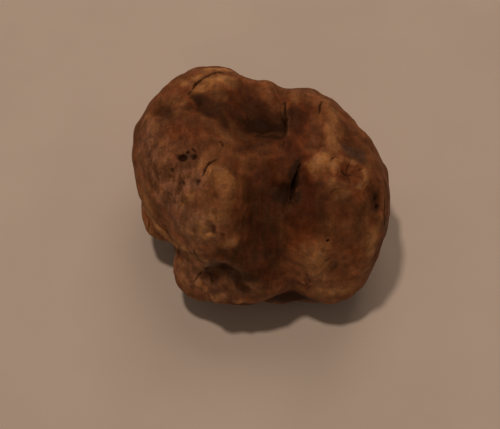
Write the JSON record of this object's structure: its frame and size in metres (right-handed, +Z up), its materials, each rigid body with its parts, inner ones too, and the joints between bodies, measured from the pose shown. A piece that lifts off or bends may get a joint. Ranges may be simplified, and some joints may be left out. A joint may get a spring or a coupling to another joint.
{
  "type": "white truffle",
  "caption": "Whole white truffle fruit body: rounded fused lobes with a deep saddle, a slit, a pit and side nodules, lying on a small flat spot on its underside.",
  "frame": {"origin": "on the surface the truffle lies on, under the middle of its bounding box", "axes": "+Z up, out of the surface it lies on; +X to the right and +Y to the back, as the side with the slit and the saddle is looked at from the front"},
  "size_m": [0.06, 0.0568, 0.0395],
  "materials": {
    "skin": "dry matt skin, ochre to dark brown, with stains, cracks and fine pits"
  },
  "bodies": {
    "root": {"truffle": "skin"}
  },
  "joints": []
}
